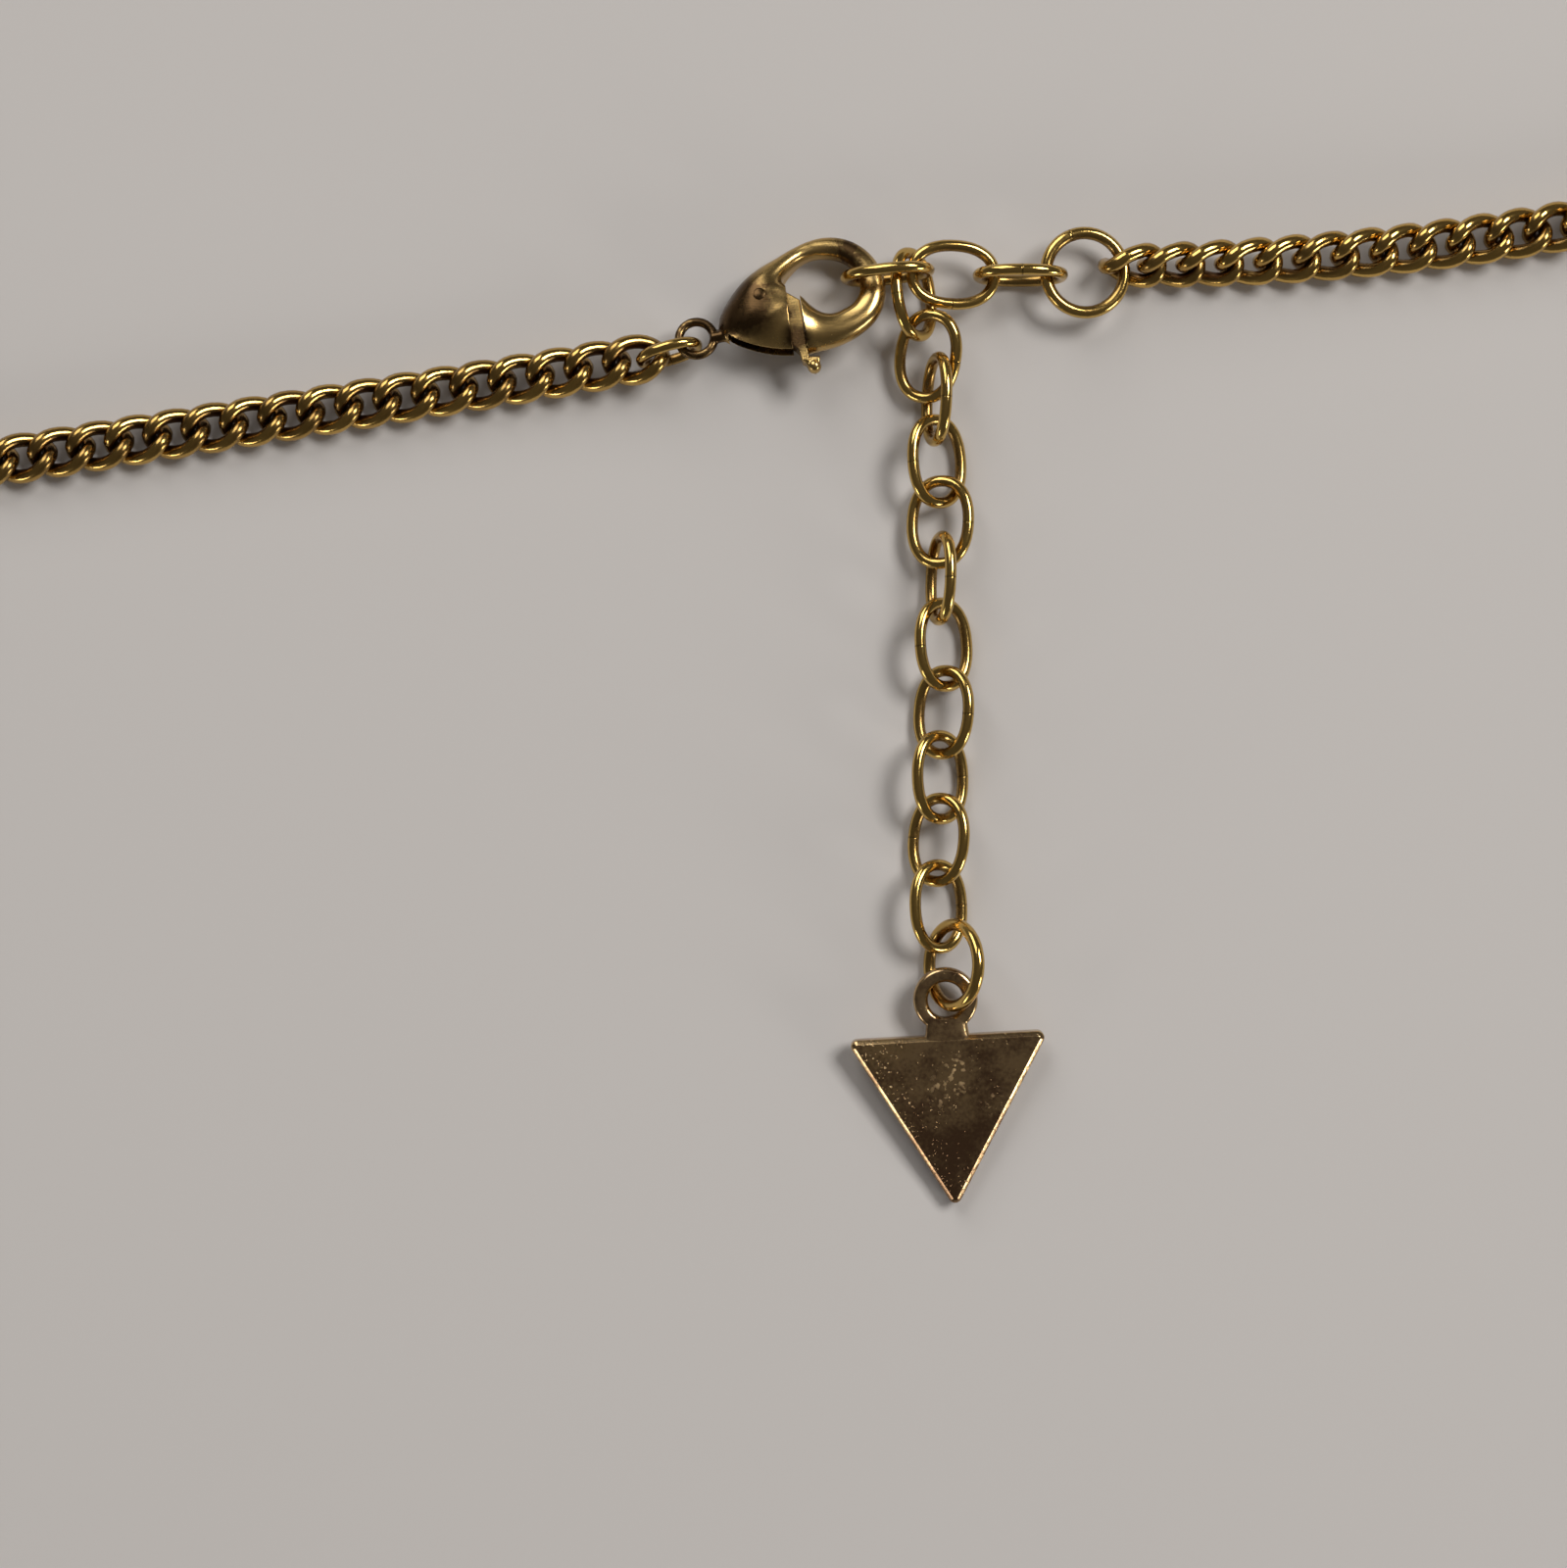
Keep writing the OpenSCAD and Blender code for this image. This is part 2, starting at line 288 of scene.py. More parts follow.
def wire_plating(name, gold, tarnish, grime_and_shade, roughness):
    """Gilt wire. Inner curves hold brown tarnish with painted shade, more of both as the grime share
    grows, and curb links differ.
    """
    material = new_material(name)
    tree = material.node_tree
    place = in_mm(tree)
    cloud = noise(tree, place, scale=0.55)
    grain = noise(tree, place, scale=5.0, detail=3.0)
    scuff = noise(tree, place, scale=14.0)
    inner = attribute(tree, "inner")
    tone = attribute(tree, "tone")
    seam = step(tree, attribute(tree, "seam"), seam_reach, seam_core)
    across = add(tree, "ShaderNodeSeparateXYZ", {}, {"Vector": place})
    left_darkening = step(tree, across, darkening_start, darkening_full) * darkening_share
    # The share of the tarnish colour: tarnish with painted shade from inner, a random tone per link,
    # grain, and the darkening towards the left
    tarnish_and_shade = inner * (0.35 + cloud) * grime_and_shade + (tone - 0.5) * 0.3 * grime_and_shade + (grain - 0.5) * 0.3 + left_darkening
    tarnish_and_shade = tarnish_and_shade.clipped()
    colour = mixed(tree, tarnish_and_shade, gold, tarnish)
    colour = mixed(tree, seam * 0.7, colour, seam_colour)
    relief = add(tree, "ShaderNodeBump", {}, {"Strength": 0.16, "Distance": 0.03 * MM,
        "Height": scuff * 0.3 + grain * 1.1 - seam * 4.0})
    gilt(tree, colour, roughness + 0.1 * (cloud - 0.5) + 0.2 * tarnish_and_shade + 0.1 * (grain - 0.5), relief)
    print("finish", name)
    return material


curb_plating = wire_plating("curb_plating", gold=(0.62, 0.40, 0.115, 1.0),
    tarnish=(0.1, 0.047, 0.02, 1.0), grime_and_shade=0.95, roughness=0.12)
link_plating = wire_plating("link_plating", gold=(0.63, 0.42, 0.125, 1.0),
    tarnish=(0.15, 0.075, 0.028, 1.0), grime_and_shade=0.7, roughness=0.13)

# %% [markdown]
# Each link lies its own way, rolled and tipped as the chain settled. The places could be typed in
# again, but they are already in the CAD model. The spread of a solid's points gives the directions
# in which it is long, wide and thin, and those are the directions of a link.

# %% Read where each link lies
same_point = 0.001 * MM


def loose_solids(node):
    """The corner points of each separate solid of a CAD node, in mm, in the model's own order."""
    work = bmesh.new()
    work.from_mesh(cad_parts[node].data)
    bmesh.ops.remove_doubles(work, verts=work.verts, dist=same_point)
    seen = set()
    solids = []
    for first in work.verts:
        if first in seen:
            continue
        seen.add(first)
        group = [first]
        for vert in group:
            for edge in vert.link_edges:
                other = edge.other_vert(vert)
                if other not in seen:
                    seen.add(other)
                    group.append(other)
        solids.append(np.array([vert.co for vert in group]) / MM)
    work.free()
    return solids


def pose(points, long_hint=None):
    """Centre of a link, and a turn whose x, y and z are its long, wide and thin directions.

    A circle is as long as it is wide, so a ring brings a hint for its long direction."""
    centre = points.mean(0)
    spread = np.cov((points - centre).T)
    axes = np.linalg.eigh(spread)[1][:, ::-1]
    if long_hint is not None:
        thin = axes[:, 2]
        long = np.array(long_hint) - np.dot(long_hint, thin) * thin
        long /= np.linalg.norm(long)
        axes = np.column_stack([long, np.cross(thin, long), thin])
    if axes[2, 2] < 0:
        axes[:, 2] *= -1
    axes[:, 1] = np.cross(axes[:, 2], axes[:, 0])
    return centre, Matrix(axes.tolist()).to_quaternion()


curb_nodes = ["curb_chain_left", "curb_chain_right"]
curb_poses = {node: [pose(solid) for solid in loose_solids(node)] for node in curb_nodes}
print("curb links found:", {node: len(found) for node, found in curb_poses.items()})

# %% [markdown]
# A curb link is a small ring, flattened and twisted so that the chain lies flat with its links
# slanted. 150 of them repeat along the necklace, which is work for Geometry Nodes: a tree bends one
# wire by the rule of the twist, and sets a copy on each point with that point's turn.

# %% Helpers for trees of geometry
tone_seed = 7


def geometry_tree(name, sizes):
    """A tree with a geometry input, a named input for each size and a finish."""
    group = bpy.data.node_groups.new(name, "GeometryNodeTree")
    face = group.interface
    face.new_socket("Geometry", in_out="INPUT", socket_type="NodeSocketGeometry")
    for size, value in sizes.items():
        kind = "NodeSocketInt" if isinstance(value, int) else "NodeSocketFloat"
        face.new_socket(size, in_out="INPUT", socket_type=kind).default_value = value
    face.new_socket("Finish", in_out="INPUT", socket_type="NodeSocketMaterial")
    face.new_socket("Geometry", in_out="OUTPUT", socket_type="NodeSocketGeometry")
    return group, add(group, "NodeGroupInput")


def stored(tree, geometry, name, value, domain="POINT"):
    return add(tree, "GeometryNodeStoreNamedAttribute", {"data_type": "FLOAT", "domain": domain},
        {"Geometry": geometry, "Name": name, "Value": value})


def set_out(tree, shape, given):
    """Copies of the shape on the points of the geometry, turned as the points say, as one mesh."""
    turn = add(tree, "GeometryNodeInputNamedAttribute", {"data_type": "QUATERNION"}, {"Name": "turn"})
    copies = add(tree, "GeometryNodeInstanceOnPoints", {},
        {"Points": given.of("Geometry"), "Instance": shape, "Rotation": turn})
    shade = add(tree, "FunctionNodeRandomValue", {"data_type": "FLOAT"}, {"Seed": tone_seed}, 1)
    copies = stored(tree, copies, "tone", shade, "INSTANCE")
    whole = add(tree, "GeometryNodeRealizeInstances", {}, {"Geometry": copies})
    smooth = add(tree, "GeometryNodeSetShadeSmooth", {}, {"Geometry": whole})
    finished = add(tree, "GeometryNodeSetMaterial", {},
        {"Geometry": smooth, "Material": given.of("Finish")})
    add(tree, "NodeGroupOutput", {}, {"Geometry": finished})


def rounded(wave, fullness):
    """A sine or cosine that draws an oval with fuller shoulders as fullness grows above 2."""
    return wave.sum("SIGN", wave) * abs(wave) ** (2.0 / fullness)


# %% Helpers for finished meshes
def volume(mesh):
    work = bmesh.new()
    work.from_mesh(mesh)
    size = work.calc_volume(signed=True)
    work.free()
    return size / MM ** 3


def outward(mesh):
    if volume(mesh) < 0:
        mesh.flip_normals()


def grown(name, group, poses, finish, sizes=None):
    """The plain mesh that a tree makes on points with the given poses, in metres."""
    mesh = bpy.data.meshes.new(name + "_points")
    mesh.from_pydata([tuple(centre) for centre, turn in poses], [], [])
    turns = mesh.attributes.new("turn", "QUATERNION", "POINT")
    turns.data.foreach_set("value", [part for centre, turn in poses for part in turn])
    obj = new_object(name, mesh)
    modifier = obj.modifiers.new("grow", "NODES")
    modifier.node_group = group
    names = {item.name: item.identifier for item in group.interface.items_tree if item.in_out == "INPUT"}
    modifier[names["Finish"]] = finish
    for size, value in (sizes or {}).items():
        modifier[names[size]] = value
    graph = bpy.context.evaluated_depsgraph_get()
    plain = bpy.data.meshes.new_from_object(obj.evaluated_get(graph), depsgraph=graph,
        preserve_all_data_layers=True)
    obj.modifiers.clear()
    obj.data = plain
    plain.transform(Matrix.Scale(MM, 4))
    outward(plain)
    return obj


def dressed(obj, slot, body, *nodes):
    """Hangs a finished piece on its body and hides the CAD nodes that it stands for."""
    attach(obj, body)
    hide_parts(*nodes)
    count = sum(len(face.vertices) - 2 for face in obj.data.polygons)
    print(f"{obj.name}: {count} triangles, {volume(obj.data):.1f} mm3")


# %% Grow the curb chain
no_joint = 1.0
curb_sizes = {"Long": 3.3, "Wide": 2.2, "Wire": 0.88, "Twist": math.radians(55), "Fullness": 2.4,
    "Stations": 36, "Sides": 12}
curb_tree, given = geometry_tree("curb_links", curb_sizes)
tree = curb_tree
circle = add(tree, "GeometryNodeCurvePrimitiveCircle", {}, {"Resolution": given.of("Stations")})
angle = add(tree, "GeometryNodeInputIndex") * math.tau / given.of("Stations")
cosine = angle.sum("COSINE", angle)
sine = angle.sum("SINE", angle)
bank = cosine * given.of("Twist") * -1.0
half_long = given.of("Long") / 2
half_wide = given.of("Wide") / 2
reach = half_wide * rounded(sine, given.of("Fullness"))
wire_place = add(tree, "ShaderNodeCombineXYZ", {}, {
    "X": half_long * rounded(cosine, given.of("Fullness")),
    "Y": reach * bank.sum("COSINE", bank), "Z": reach * bank.sum("SINE", bank)})
middle_line = add(tree, "GeometryNodeSetPosition", {}, {"Geometry": circle, "Position": wire_place})
section = add(tree, "GeometryNodeCurvePrimitiveCircle", {},
    {"Resolution": given.of("Sides"), "Radius": given.of("Wire") / 2})
link = add(tree, "GeometryNodeCurveToMesh", {}, {"Curve": middle_line, "Profile Curve": section})
spot = add(tree, "ShaderNodeSeparateXYZ", {}, {"Vector": add(tree, "GeometryNodeInputPosition")})
out_share = (spot / half_long) ** 2 + ((spot.of("Y") / half_wide) ** 2 + (spot.of("Z") / half_wide) ** 2)
# Painted shade: the ends of each link, which its neighbours cover, are darkened with the tarnish
painted_end_shade = step(tree, abs(spot), 0.75, 1.6) * 0.45
# inner holds tarnish with painted shade in the inner curves, plus the painted shade at the ends
link = stored(tree, link, "inner", step(tree, out_share, 1.25, 0.6) + painted_end_shade)
link = stored(tree, link, "seam", no_joint)
set_out(tree, link, given)

for node in curb_nodes:
    chain = grown(node + "_links", curb_tree, curb_poses[node], curb_plating)
    dressed(chain, "curb_plating", "necklace", node)

# %% [markdown]
# The extender's links and the rings are round wire bent into an oval or a circle, cut, and closed with
# a butt joint. One tree makes them all: it bends a closed wire by the rule of a rounded oval, and marks
# how far each point is from the joint, so that the finish can draw the fine seam there.

# %% Bend the oval links
stations = 72
fine_steps = 180
near_joint = stations // 4
far_joint = near_joint * 3
oval_sizes = {"Long": 5.7, "Wide": 4.15, "Wire": 0.7, "Fullness": 2.25, "Stations": stations,
    "Sides": 18, "Joint": near_joint}
oval_tree, given = geometry_tree("oval_links", oval_sizes)
tree = oval_tree
rough = add(tree, "GeometryNodeCurvePrimitiveCircle", {}, {"Resolution": fine_steps})
angle = add(tree, "GeometryNodeInputIndex") * math.tau / fine_steps
half_long = (given.of("Long") - given.of("Wire")) / 2
half_wide = (given.of("Wide") - given.of("Wire")) / 2
cosine = angle.sum("COSINE", angle)
sine = angle.sum("SINE", angle)
wire_place = add(tree, "ShaderNodeCombineXYZ", {}, {
    "X": half_long * rounded(cosine, given.of("Fullness")),
    "Y": half_wide * rounded(sine, given.of("Fullness"))})
bent = add(tree, "GeometryNodeSetPosition", {}, {"Geometry": rough, "Position": wire_place})
even = add(tree, "GeometryNodeResampleCurve", {}, {"Curve": bent, "Count": given.of("Stations")})
length = add(tree, "GeometryNodeSplineLength")
share = abs(add(tree, "GeometryNodeInputIndex") - given.of("Joint")) / given.of("Stations")
from_joint = share.sum("MINIMUM", share, 1.0 - share) * length
even = stored(tree, even, "seam", from_joint)
section = add(tree, "GeometryNodeCurvePrimitiveCircle", {},
    {"Resolution": given.of("Sides"), "Radius": given.of("Wire") / 2})
link = add(tree, "GeometryNodeCurveToMesh", {}, {"Curve": even, "Profile Curve": section})
spot = add(tree, "ShaderNodeSeparateXYZ", {}, {"Vector": add(tree, "GeometryNodeInputPosition")})
out_share = (spot / half_long) ** 2 + (spot.of("Y") / half_wide) ** 2
# Tarnish with painted shade in the link's inner curve
link = stored(tree, link, "inner", step(tree, out_share, 1.1, 0.7))
set_out(tree, link, given)

# %% Grow the oval links and the rings
extender_count = 14
for number in range(1, extender_count + 1):
    node = f"extender_link_{number:02d}"
    turned_round = number % 3 == 1
    joint = far_joint if turned_round else near_joint
    piece = grown(node + "_wire", oval_tree, [pose(loose_solids(node)[0])], link_plating,
        {"Joint": joint})
    dressed(piece, "link_plating", "necklace", node)

# Columns: node, sizes, long direction
ring_rows = [
    ("end_link", {"Long": 4.1, "Wide": 3.0, "Wire": 0.65}, None),
    ("jump_ring", {"Long": 5.5, "Wide": 5.5, "Wire": 0.75, "Fullness": 2.0}, (1, 0.4, 0)),
    ("tag_ring", {"Long": 5.6, "Wide": 5.6, "Wire": 0.75, "Fullness": 2.0}, (1, 0.6, 0)),
]
for node, sizes, hint in ring_rows:
    piece = grown(node + "_wire", oval_tree, [pose(loose_solids(node)[0], hint)], link_plating, sizes)
    dressed(piece, "link_plating", "necklace", node)

# %% [markdown]
# The clasp is a lobster claw: one casting makes the hook, the body and the eye. It could be modelled
# as a subdivision surface, but its sections are known, so it is swept all round the hook's opening as
# a closed ring, with a smooth curve through them. Ring, neck and eye are remeshed into one skin, which
# rounds the joins as tumbling does. The slot and the mouth are cut after that and smoothed, so that
# their edges are soft but clean, and the pin's bore is drilled last. All is made flat round the hook's
# middle. One matrix then leans it, because the real clasp lies with its hook on the link that goes
# through it, and the side of its slot shows as a dark line.

# %% Solids from rings of points, in mm
def round_steps(count):
    """The angles of a full turn in equal steps."""
    return [k * math.tau / count for k in range(count)]


def full_wave(wave, power):
    """A sine or cosine that draws a squarer oval as the power falls below 1."""
    return math.copysign(abs(wave) ** power, wave)


def loft(name, sections, closed=False):
    """A solid through rings of points, with a flat face at each end, or closed back to the first."""
    sides = len(sections[0])
    count = len(sections)
    faces = [] if closed else [tuple(range(sides))]
    for k in range(count if closed else count - 1):
        after = (k + 1) % count
        for j in range(sides):
            beside = (j + 1) % sides
            faces.append((k * sides + beside, k * sides + j, after * sides + j, after * sides + beside))
    if not closed:
        faces.append(tuple((count - 1) * sides + j for j in reversed(range(sides))))
    mesh = bpy.data.meshes.new(name)
    mesh.from_pydata([tuple(corner) for section in sections for corner in section], [], faces)
    outward(mesh)
    return new_object(name, mesh)


def plate(name, outline, thickness):
    return loft(name, [[(x, y, z) for x, y in outline] for z in (-thickness / 2, thickness / 2)])


def turned(name, middle, rows, sides):
    """A solid of revolution with an upright axis, from rows of level and radius."""
    return loft(name, [[(middle[0] + radius * math.cos(a), middle[1] + radius * math.sin(a), level)
        for a in round_steps(sides)] for level, radius in rows])


def disc(name, middle, radius, thickness):
    return turned(name, middle, [(-thickness / 2, radius), (thickness / 2, radius)], sides=64)


def mirrored(rows, middle=()):
    """Rows whose first column is a level, then any middle row, then the first rows upside down."""
    return [*rows, *middle, *((-level, *rest) for level, *rest in reversed(rows))]


def hoop(name, middle, outer, wire, squareness=2.0, stations=96, sides=24):
    """A closed ring. Its section is round at squareness 2, and flatter on top above that."""
    radius = outer / 2 - wire / 2
    sections = []
    for around in round_steps(stations):
        section = []
        for a in round_steps(sides):
            reach = radius + wire / 2 * full_wave(math.cos(a), 2 / squareness)
            rise = wire / 2 * full_wave(math.sin(a), 2 / squareness)
            section.append((middle[0] + reach * math.cos(around),
                middle[1] + reach * math.sin(around), rise))
        sections.append(section)
    return loft(name, sections, closed=True)


# %% Join, cut and smooth
def settled(obj):
    """Turns what the modifiers make into the object's plain mesh."""
    graph = bpy.context.evaluated_depsgraph_get()
    plain = bpy.data.meshes.new_from_object(obj.evaluated_get(graph), depsgraph=graph)
    obj.modifiers.clear()
    obj.data = plain


def joined(obj, *others):
    work = bmesh.new()
    for each in (obj, *others):
        work.from_mesh(each.data)
    work.to_mesh(obj.data)
    work.free()
    for each in others:
        bpy.data.objects.remove(each)


def cut(obj, *tools):
    for tool in tools:
        modifier = obj.modifiers.new("cut", "BOOLEAN")
        modifier.operation = "DIFFERENCE"
        modifier.solver = "EXACT"
        modifier.object = tool
        settled(obj)
        bpy.data.objects.remove(tool)


def divided(obj, longest):
    """Splits the mesh until no edge is longer, so that what it cuts can be smoothed evenly."""
    work = bmesh.new()
    work.from_mesh(obj.data)
    bmesh.ops.triangulate(work, faces=work.faces)
    long_edges = [edge for edge in work.edges if edge.calc_length() > longest]
    while long_edges:
        bmesh.ops.subdivide_edges(work, edges=long_edges, cuts=1)
        bmesh.ops.triangulate(work, faces=work.faces)
        long_edges = [edge for edge in work.edges if edge.calc_length() > longest]
    work.to_mesh(obj.data)
    work.free()
    return obj


def softened(obj, rounds):
    soft = obj.modifiers.new("soften", "SMOOTH")
    soft.factor = 0.5
    soft.iterations = rounds
    settled(obj)


def tumbled(obj, grain, rounds):
    """One skin over all shells of the object, with its edges rounded by smoothing."""
    skin = obj.modifiers.new("skin", "REMESH")
    skin.mode = "VOXEL"
    skin.voxel_size = grain
    softened(obj, rounds)


def placed(obj, place, finish):
    """Sets the finished mesh in its place in the frame, in metres, smooth shaded."""
    obj.data.transform(Matrix.Scale(MM, 4) @ place)
    obj.data.shade_smooth()
    obj.data.materials.clear()
    obj.data.materials.append(finish)
    outward(obj.data)


# %% Make the clasp's plating
# Columns of both tables: x, y, radius, edge, strength, in mm on the frame's plan
clasp_stains_and_shade = [
    # Stain and painted dark reflection on the body's left bulge
    (4.5, -12.8, 2.0, 1.2, 1.0),
    # Painted shade in the hook's mouth, over the lever, in two spots
    (7.85, -14.6, 0.8, 0.5, 1.0),
    (7.5, -13.1, 0.5, 0.4, 0.6),
    # Tarnish on the eye
    (1.8, -14.6, 1.6, 0.4, 0.7),
    # Darker top of the hook
    (10.9, -9.5, 1.1, 0.8, 0.6),
]
rubbed_hook = [(10.9, -13.6, 2.6, 0.8, 1.0)]
brush_turn = (0.0, 0.0, 0.5)
brush_scale = (0.7, 9.0, 4.0)


def blots(tree, place, rows):
    """The sum of soft round spots of the plan, each as strong as its row says."""
    spot = add(tree, "ShaderNodeSeparateXYZ", {}, {"Vector": place})
    total = 0.0
    for x, y, radius, edge, strength in rows:
        away = ((spot - x) ** 2 + (spot.of("Y") - y) ** 2) ** 0.5
        total = total + step(tree, away, radius + edge, radius - edge) * strength
    return total


def clasp_finish(name, gold, tarnish):
    """Satin gilt casting with brown-green tarnish in patches and stains, with painted shade in the mouth
    and a painted dark reflection on the body's left bulge. The lower hook is rubbed bright.
    """
    material = new_material(name)
    tree = material.node_tree
    place = in_mm(tree)
    cloud = noise(tree, place, scale=0.42, detail=3.0)
    grain = noise(tree, place, scale=3.5, detail=4.0)
    stretched = add(tree, "ShaderNodeMapping", {"vector_type": "POINT"},
        {"Vector": place, "Rotation": brush_turn, "Scale": brush_scale})
    scratch = noise(tree, stretched, scale=1.6, detail=3.0)
    patch = step(tree, cloud * 0.75 + grain * 0.35, 0.56, 0.68)
    # Stains, with painted shade in the mouth and a painted dark reflection on the body's left bulge
    stain_and_shade = blots(tree, place, clasp_stains_and_shade) * (0.6 + grain)
    bright = blots(tree, place, rubbed_hook)
    tarnish_and_shade = (patch * 0.45 + stain_and_shade * 1.1 + (scratch - 0.5) * 0.3 - bright * 0.35).clipped()
    relief = add(tree, "ShaderNodeBump", {}, {"Strength": 0.12, "Distance": 0.04 * MM,
        "Height": (grain * 0.7 + scratch * 0.6) * (1.2 - bright)})
    gilt(tree, mixed(tree, tarnish_and_shade, gold, tarnish),
        0.25 + 0.1 * patch + 0.12 * (scratch - 0.5) - 0.03 * bright, relief)
    print("finish", name)
    return material


clasp_plating = clasp_finish("clasp_plating", gold=(0.54, 0.37, 0.14, 1.0),
    tarnish=(0.085, 0.05, 0.022, 1.0))

# %% Measure the clasp
hook_middle = (9.34, -11.49, 1.71)
clasp_roll = math.radians(12)
clasp_pitch = math.radians(3)
clasp_place = (Matrix.Translation(hook_middle) @ Matrix.Rotation(-clasp_pitch, 4, "Y")
    @ Matrix.Rotation(-clasp_roll, 4, "X"))
hook_thickness = 1.4
body_thickness = 3.3
section_power = 0.88
crest_share = 0.3
pivot = (-3.7, -1.0)
drill_length = 6.0
lean = [round(math.degrees(angle), 1) for angle in (clasp_roll, clasp_pitch)]
print("the clasp leans sideways and lengthwise, in degrees:", lean)

# Columns: angle round the hook's opening, inner radius, outer radius, swell from hook to body
body_rows = [
    (-90, 1.7, 4.0, 0.3), (-70, 1.86, 3.8, 0.2), (-50, 1.93, 3.77, 0.12), (-30, 2.12, 3.85, 0.06),
    (-10, 2.22, 3.82, 0.02), (10, 2.2, 3.7, 0), (30, 2.07, 3.52, 0), (50, 1.94, 3.36, 0),
    (70, 1.83, 3.2, 0), (90, 1.78, 3.05, 0), (110, 1.84, 2.95, 0.03), (130, 1.93, 3.0, 0.12),
    (150, 2.07, 3.35, 0.35), (165, 2.28, 4.05, 0.6), (178, 2.45, 4.95, 0.85), (190, 2.13, 5.85, 1),
    (198, 1.88, 6.5, 1), (206, 1.75, 6.85, 1), (212, 1.68, 6.65, 1), (220, 1.6, 6.1, 1),
    (230, 1.56, 5.5, 0.9), (242, 1.55, 4.92, 0.7), (256, 1.58, 4.4, 0.45)]


def curved(rows, parts):
    """Rows of a closed round, with more of them between on a smooth curve through them."""
    rows = np.array(rows, float)
    full_turn = np.array([360.0, 0, 0, 0])
    ends = np.vstack([rows[-1] - full_turn, rows, rows[0] + full_turn, rows[1] + full_turn])
    finer = []
    for k in range(len(rows)):
        a, b, c, d = ends[k:k + 4]
        for t in np.arange(parts) / parts:
            finer.append(b + t / 2 * (c - a + t * (2 * a - 5 * b + 4 * c - d + t * (3 * (b - c) + d - a))))
    return finer


def body_section(angle, inner, outer, swell, sides=48):
    """A section across the ring. Where the body swells, its crest lies nearer to the opening."""
    middle = (inner + outer) / 2
    half_wide = (outer - inner) / 2
    half_thick = (hook_thickness + (body_thickness - hook_thickness) * swell) / 2
    turn = math.radians(angle)
    crest_shift = crest_share * swell * half_wide
    section = []
    for a in round_steps(sides):
        rise = full_wave(math.sin(a), section_power)
        reach = middle + half_wide * full_wave(math.cos(a), section_power)
        reach -= crest_shift * abs(rise)
        section.append((reach * math.cos(turn), reach * math.sin(turn), half_thick * rise))
    return section


def round_neck(name, foot, heading, rows, sides=24):
    """Upright circles along a heading, from rows of distance from the foot and radius."""
    sections = []
    for along, radius in rows:
        section = []
        for a in round_steps(sides):
            section.append((
                foot[0] + along * math.cos(heading) - radius * math.sin(a) * math.sin(heading),
                foot[1] + along * math.sin(heading) + radius * math.sin(a) * math.cos(heading),
                radius * math.cos(a)))
        sections.append(section)
    return loft(name, sections)


# %% Cast the clasp's body
slot_width = 1.2
slot_outline = [(-4.9, -0.15), (-2.4, 0.1), (-1.4, -0.2), (-0.7, -4.9), (-0.7, -5.4), (-4.6, -5.4),
    (-5.6, -3.35), (-5.35, -2.1)]
mouth_height = 4.0
mouth_outline = [(-2.2, -0.2), (-1.43, -0.2), (-0.73, -4.9), (-1.6, -4.9)]
edge_grain = 0.15
bore_radius = 0.36
neck_foot = (-6.48, -3.15)
neck_heading = math.radians(12)
neck_rows = [(-0.2, 0.36), (0.5, 0.38), (1.3, 0.46)]
eye_middle = (-7.53, -3.2)

ring_sections = [body_section(*row) for row in curved(body_rows, parts=7)]
casting = loft("clasp_body_cast", ring_sections, closed=True)
joined(casting, round_neck("neck", neck_foot, neck_heading, neck_rows),
    hoop("eye", eye_middle, outer=2.65, wire=0.55))
tumbled(casting, grain=0.06, rounds=5)
cut(casting, divided(plate("slot", slot_outline, slot_width), edge_grain),
    divided(plate("mouth", mouth_outline, mouth_height), edge_grain))
softened(casting, rounds=7)
cut(casting, disc("bore", pivot, bore_radius, drill_length))
placed(casting, clasp_place, clasp_plating)
dressed(casting, "clasp_plating", "necklace", "clasp_body")

# %% [markdown]
# The lever lies in the body's slot and closes the hook's mouth. It is a flat stamping that turns on a
# pin, with a rounded tab for the thumb. It could be one cut plate, but its tab would have sharp edges.
# So it is made like the casting: two plates, a knuckle and a bead are remeshed into one soft shape. The
# pin is riveted flush.

# %% Make the lever
lever_thickness = 1.0
lever_outline = [(-3.5, -0.25), (-2.3, -0.4), (-1.34, -0.95), (-0.77, -4.6), (-0.75, -4.8),
    (-1.15, -4.8), (-1.35, -4.15), (-4.25, -1.6)]
lever_bore_radius = 0.4
knuckle_radius = 0.8
tab_thickness = 0.8
tab_outline = [(-0.12, -4.45), (-0.12, -4.95), (-0.6, -5.24), (-0.72, -5.17), (-1.3, -4.5)]
bead_middle = (-0.45, -5.0)
bead_rows = mirrored([(-0.52, 0.03), (-0.48, 0.2), (-0.36, 0.33), (-0.19, 0.4)], [(0.0, 0.42)])

lever = plate("clasp_lever_plate", lever_outline, lever_thickness)
joined(lever, plate("tab", tab_outline, tab_thickness),
    turned("bead", bead_middle, bead_rows, sides=32),
    disc("knuckle", pivot, knuckle_radius, lever_thickness))
tumbled(lever, grain=0.045, rounds=6)
cut(lever, disc("lever_bore", pivot, lever_bore_radius, drill_length))
placed(lever, clasp_place, clasp_plating)
dressed(lever, "clasp_plating", "lever", "clasp_lever")

# %% Turn the pin
pin_half = 1.63
pin_rows = mirrored([(-pin_half, 0.02), (-pin_half, 0.32), (-pin_half + 0.01, 0.34),
    (-pin_half + 0.04, 0.35)])
pin = turned("clasp_pin_turned", pivot, pin_rows, sides=48)
placed(pin, clasp_place, clasp_plating)
dressed(pin, "clasp_plating", "necklace", "clasp_pin")

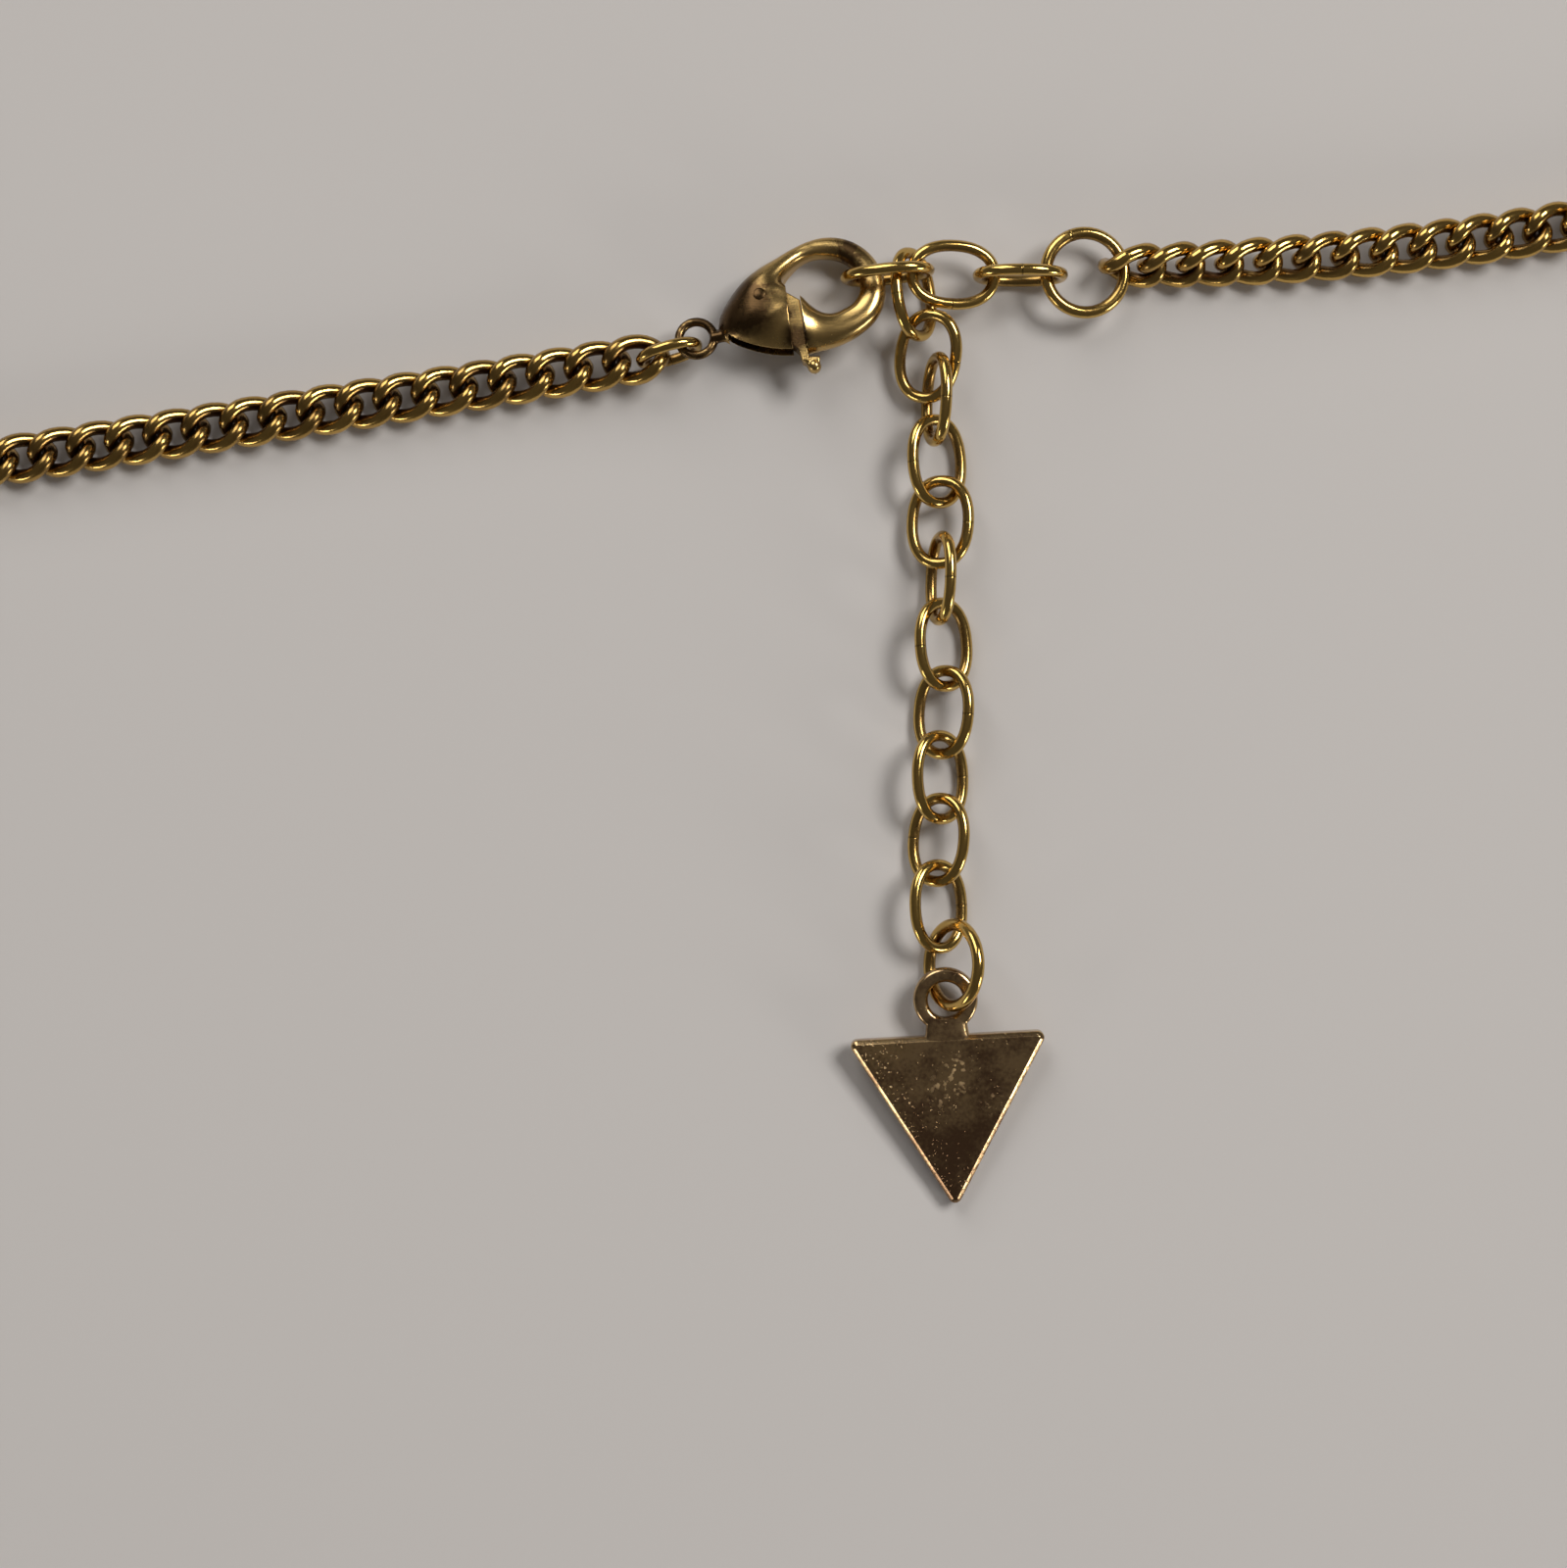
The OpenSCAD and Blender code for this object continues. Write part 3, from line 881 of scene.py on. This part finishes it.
# %% [markdown]
# The tag is a small triangle stamped from sheet, with bright bevelled edges and a soldered eye. Its
# face is flat and polished, so it mirrors the dark above it, and wear shows as paler rubbed patches,
# pits and nicks along an edge. The bevel is modelled, because its line of light is what outlines the tag.

# %% Make the tag's plating
# Columns: x, y, radius, edge, strength, in mm on the frame's plan
rubbed_middle = [
    (17.3, -58.6, 1.1, 0.9, 1.0),
    (16.6, -59.9, 0.8, 0.7, 1.0),
    (19.5, -60.3, 0.7, 0.5, 1.0),
]
rubbed_colour = (0.68, 0.48, 0.27, 1.0)
left_corner = (11.4, -56.71)
left_inwards = (0.839, 0.544)
right_corner = (22.75, -56.71)
right_inwards = (-0.886, 0.463)
dark_from = -57.5
dark_to = -65.5


def inside(spot, corner, inwards):
    """How far a place is from the edge that starts at a corner, in mm."""
    return (spot - corner[0]) * inwards[0] + (spot.of("Y") - corner[1]) * inwards[1]


def tag_finish(name, gold, tarnish):
    """Polished gilt sheet, browned in clouds, pitted along its left edge, rubbed pale in the middle."""
    material = new_material(name)
    tree = material.node_tree
    place = in_mm(tree)
    spot = add(tree, "ShaderNodeSeparateXYZ", {}, {"Vector": place})
    cloud = noise(tree, place, scale=0.55, detail=3.0)
    grain = noise(tree, place, scale=4.5, detail=5.0)
    broken = noise(tree, place, scale=1.7, detail=4.0)
    ragged = step(tree, noise(tree, place, scale=2.6, detail=6.0), 0.53, 0.66)
    rubbed = blots(tree, place, rubbed_middle).clipped() * ragged
    edge_wear = step(tree, inside(spot, left_corner, left_inwards), 2.4, 0.3)
    edge_line = step(tree, inside(spot, right_corner, right_inwards), 0.5, 0.25)
    nicks = edge_line * step(tree, noise(tree, place, scale=3.0, detail=3.0), 0.5, 0.62)
    speckle = noise(tree, place, scale=7.0, detail=3.0)
    flecks = step(tree, speckle + 0.04 * edge_wear + 0.07 * rubbed, 0.68, 0.74)
    pits = (flecks * step(tree, broken + 0.08 * edge_wear, 0.5, 0.6) + nicks * 0.6).clipped()
    worn = (rubbed * (0.4 + grain) + pits * 0.7).clipped()
    lower = step(tree, spot.of("Y"), dark_from, dark_to)
    brown = step(tree, cloud * 0.7 + 0.4 * grain + 0.18 * lower, 0.42, 0.76)
    colour = mixed(tree, worn * 0.4, mixed(tree, brown, gold, tarnish), rubbed_colour)
    relief = add(tree, "ShaderNodeBump", {}, {"Strength": 0.4, "Distance": 0.04 * MM,
        "Height": grain * 0.35 + cloud * 0.3 - pits * 1.2 + rubbed * grain})
    gilt(tree, colour, 0.15 + 0.1 * cloud + 0.35 * worn, relief)
    print("finish", name)
    return material


tag_plating = tag_finish("tag_plating", gold=(0.58, 0.41, 0.21, 1.0), tarnish=(0.215, 0.128, 0.07, 1.0))

# %% Measure the tag
tag_side = 10.8
tag_thickness = 1.2
corner_r = 0.4
tag_reach = 2.15
tag_lean = math.radians(4.3)
tag_turn = math.radians(3)
tag_height = tag_side * math.sin(math.radians(60))
tag_length = tag_reach + tag_height + 2 * corner_r
tag_eye = (16.69, -54.14)
eye_level = tag_thickness / 2 * math.cos(tag_lean) + tag_length * math.sin(tag_lean)
tag_place = (Matrix.Translation((*tag_eye, eye_level)) @ Matrix.Rotation(tag_turn, 4, "Z")
    @ Matrix.Rotation(tag_lean, 4, "X"))
print(f"tag {tag_side + 2 * corner_r:.1f} mm wide, its eye {eye_level:.2f} mm up")

# %% Press the tag
# Columns: x, y, angle in degrees where the corner's arc starts
corner_rows = [(tag_side / 2, 0.0, -30), (-tag_side / 2, 0.0, 90), (0.0, -tag_height, 210)]
# Columns: level, inset of the bevelled edge
edge_rows = mirrored([(0.6, 0.38), (0.6, 0.31), (0.594, 0.275), (0.577, 0.245), (0.443, 0.06),
    (0.4, 0.02), (0.36, 0.004), (0.3, 0.0)])
# Columns: y, half width, half thickness
tag_neck_rows = [(-1.1, 1.22, 0.45), (-1.5, 1.24, 0.5), (-1.95, 1.3, 0.56), (-2.2, 1.36, 0.585),
    (-2.5, 1.4, 0.597)]


def tag_outline(level, inset, parts=10):
    """The triangle's outline at a level, drawn in from the edge by the inset."""
    ring = []
    radius = corner_r - inset
    for x, y, first in corner_rows:
        for a in np.radians(first + np.arange(parts + 1) * 120 / parts):
            ring.append((x + radius * math.cos(a), y - tag_reach - corner_r + radius * math.sin(a), level))
    return ring


def neck_section(y, half_wide, half_thick, power=0.4, sides=40):
    """A rounded rectangle across the tag's neck."""
    return [(half_wide * full_wave(math.cos(a), power), y, half_thick * full_wave(math.sin(a), power))
        for a in round_steps(sides)]


tag = loft("triangle_tag_plate", [tag_outline(*row) for row in edge_rows])
eye_neck = loft("tag_neck", [neck_section(*row) for row in tag_neck_rows])
joined(eye_neck, hoop("tag_eye", (0, 0), outer=3.9, wire=0.9, squareness=3.0))
tumbled(eye_neck, grain=0.05, rounds=5)
joined(tag, eye_neck)
placed(tag, tag_place, tag_plating)
dressed(tag, "tag_plating", "necklace", "triangle_tag")
